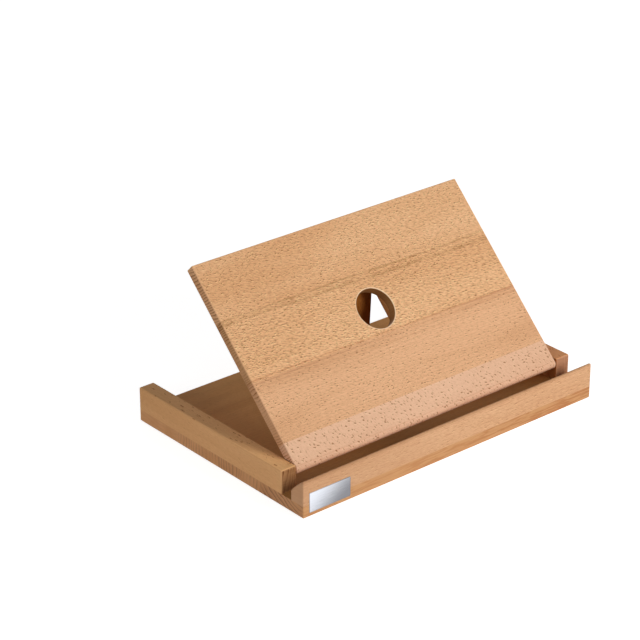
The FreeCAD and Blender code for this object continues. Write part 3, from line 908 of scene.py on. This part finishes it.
def finish_piece(name, shape, material, node, body):
    """Makes an object of a built mesh, which stands for a solid of the frame and rides on its body."""
    bmesh.ops.recalc_face_normals(shape, faces=shape.faces)
    mesh = bpy.data.meshes.new(name)
    shape.to_mesh(mesh)
    shape.free()
    for face in mesh.polygons:
        face.use_smooth = True
    mesh.set_sharp_from_angle(angle=sharp_angle)
    mesh.materials.append(material)
    piece = add_object(name, mesh)
    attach(piece, body)
    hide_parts(node)


def corner_places(low, high, radius):
    """The four places of round heads that lie in the corners of a box."""
    return [(x, y) for x in (low[0] + radius, high[0] - radius) for y in (low[1] + radius, high[1] - radius)]


# Head radius, shank radius and length of each sort of screw
rail_screw_sizes = (0.0035, 0.00175, 0.025)
batten_screw_sizes = (0.003, 0.0015, 0.016)


def screws_in_corners(low, high, sizes, first_turn, turn_step, board_to_frame):
    """Four screws in the corners of a box in a board's own axes, each driven home at another angle."""
    shape = bmesh.new()
    for number, (x, y) in enumerate(corner_places(low, high, sizes[0])):
        turn = Matrix.Rotation(first_turn + turn_step * number, 4, "Z")
        in_board = Matrix.Translation((x, y, low[2])) @ turn
        add_screw(shape, board_to_frame @ in_board, *sizes)
    return shape


def add_rail_screws(material):
    low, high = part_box("rail_screws")
    shape = screws_in_corners(
        low, high, rail_screw_sizes, first_turn=0.7, turn_step=1.1, board_to_frame=Matrix.Identity(4)
    )
    finish_piece("rail_screws_threaded", shape, material, "rail_screws", "base")


def add_batten_screws(material):
    low, high = joined_box(["batten_screws"], hinge_axis, tilted)
    board_to_frame = Matrix.Translation(hinge_axis) @ Matrix.Rotation(reading_angle, 4, "X")
    shape = screws_in_corners(
        low, high, batten_screw_sizes, first_turn=0.4, turn_step=0.9, board_to_frame=board_to_frame
    )
    finish_piece("batten_screws_threaded", shape, material, "batten_screws", "reading_panel")


def add_foot(node, material):
    """A moulded disc: a rounded foot edge, a shallow groove and a dimple in its underside."""
    low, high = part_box(node)
    radius = (high.x - low.x) / 2
    thickness = high.z - low.z
    dimple = [(0.0, 0.22), (0.1, 0.2), (0.18, 0.06), (0.22, 0.0)]
    groove = [(0.6, 0.0), (0.64, 0.18), (0.72, 0.18), (0.76, 0.0)]
    rounded_edge = [(0.92, 0.0), (0.96, 0.08), (0.985, 0.25), (1.0, 0.45)]
    top = [(1.0, 1.0), (0.0, 1.0)]
    profile = [
        (share * radius, height * thickness)
        for share, height in dimple + groove + rounded_edge + top
    ]
    shape = bmesh.new()
    to_place = Matrix.Translation(((low.x + high.x) / 2, (low.y + high.y) / 2, low.z))
    add_turned(shape, profile, to_place, segments=48)
    finish_piece(node + "_moulded", shape, material, node, "base")


def finish_metal_and_rubber():
    steel = metal_material(
        "bright_steel", srgb(214, 214, 216), srgb(176, 176, 180),
        roughness=0.22, fineness=3000.0, line_share=0.7, bump_strength=0.2,
    )
    for node in ("left_hinge_pin", "right_hinge_pin", "prop_pivot_rod"):
        finish_node(node, steel)
    finish_node("label_plate", plate_material())
    rubber = rubber_material()
    for corner in ("front_left", "front_right", "back_left", "back_right"):
        add_foot("rubber_foot_" + corner, rubber)
    zinc = metal_material(
        "zinc_screw", srgb(206, 204, 198), srgb(150, 148, 144),
        roughness=0.3, fineness=2600.0, line_share=0.5, bump_strength=0.3,
    )
    add_rail_screws(zinc)
    add_batten_screws(zinc)


def seen_share(tree):
    """1 where the camera looks, directly or through gloss or glass, and 0 for light that falls on things."""
    path = tree.node("LightPath")
    seen = tree.math("MAXIMUM", path.outputs["Is Camera Ray"], path.outputs["Is Glossy Ray"])
    return tree.math("MAXIMUM", seen, path.outputs["Is Transmission Ray"])


def build_floor():
    """A white floor that keeps the stand's shadow."""
    mesh = bpy.data.meshes.new("studio_floor")
    reach = 6.0
    corners = [(-reach, -reach, 0), (reach, -reach, 0), (reach, reach, 0), (-reach, reach, 0)]
    mesh.from_pydata(corners, [], [(0, 1, 2, 3)])
    floor = add_object("studio_floor", mesh)
    made = bpy.data.materials.new("white_floor")
    tree = empty_tree(made)
    matt = tree.node("BsdfDiffuse")
    matt.inputs["Color"].default_value = (0.6, 0.6, 0.6, 1.0)
    glow = tree.node("Emission")
    tree.feed(glow.inputs["Strength"], tree.times(seen_share(tree), 0.86))
    both = tree.node("AddShader")
    tree.feed(both.inputs[0], matt.outputs[0])
    tree.feed(both.inputs[1], glow.outputs[0])
    # Seen from below the floor is clear, so that the stand's underside can be looked at
    either = tree.node("MixShader")
    tree.feed(either.inputs[0], tree.node("NewGeometry").outputs["Backfacing"])
    tree.feed(either.inputs[1], both.outputs[0])
    tree.feed(either.inputs[2], tree.node("BsdfTransparent").outputs[0])
    output = tree.node("OutputMaterial")
    tree.feed(output.inputs["Surface"], either.outputs[0])
    mesh.materials.append(made)


def build_world():
    """A world that looks white and lights the stand dimly."""
    world = bpy.data.worlds.new("studio")
    tree = empty_tree(world)
    background = tree.node("Background")
    tree.feed(background.inputs["Strength"], tree.plus(0.16, tree.times(seen_share(tree), 0.84)))
    output = tree.node("OutputWorld")
    tree.feed(output.inputs["Surface"], background.outputs[0])
    bpy.context.scene.world = world


def add_softbox(name, direction, distance, size, power):
    """A square soft light that faces the stand from a direction."""
    light = bpy.data.lights.new(name, "AREA")
    light.shape = "SQUARE"
    light.size = size
    light.energy = power
    lamp = add_object(name, light)
    towards = Vector(direction).normalized()
    lamp.location = towards * distance
    lamp.rotation_euler = towards.to_track_quat("Z", "Y").to_euler()


def add_camera():
    """The photographed view: a long lens, from the front left and above."""
    camera = bpy.data.cameras.new("camera")
    camera.lens = 132.8
    camera.sensor_width = 36.0
    camera.shift_x = 0.0013
    camera.shift_y = -0.0068
    camera.clip_start = 0.05
    camera.clip_end = 50.0
    placed = add_object("camera", camera)
    azimuth, elevation = math.radians(-40.139), math.radians(25.501)
    back = Vector((
        math.sin(azimuth) * math.cos(elevation),
        -math.cos(azimuth) * math.cos(elevation),
        math.sin(elevation),
    ))
    placed.location = (-1.28835, -1.45879, 1.02514)
    placed.rotation_euler = back.to_track_quat("Z", "Y").to_euler()
    bpy.context.scene.camera = placed


finish_panel()
finish_base()
finish_rails()
finish_lip()
finish_battens_and_prop()
finish_metal_and_rubber()
build_floor()
build_world()
add_softbox("key", direction=(0.28, -0.88, 0.4), distance=2.2, size=0.8, power=34.5)
add_softbox("fill", direction=(-0.9, -0.3, 0.2), distance=3.0, size=1.6, power=34.0)
add_softbox("back", direction=(0.25, 0.95, 0.13), distance=3.0, size=1.6, power=21.0)
add_camera()
bpy.context.scene.view_settings.view_transform = "Standard"
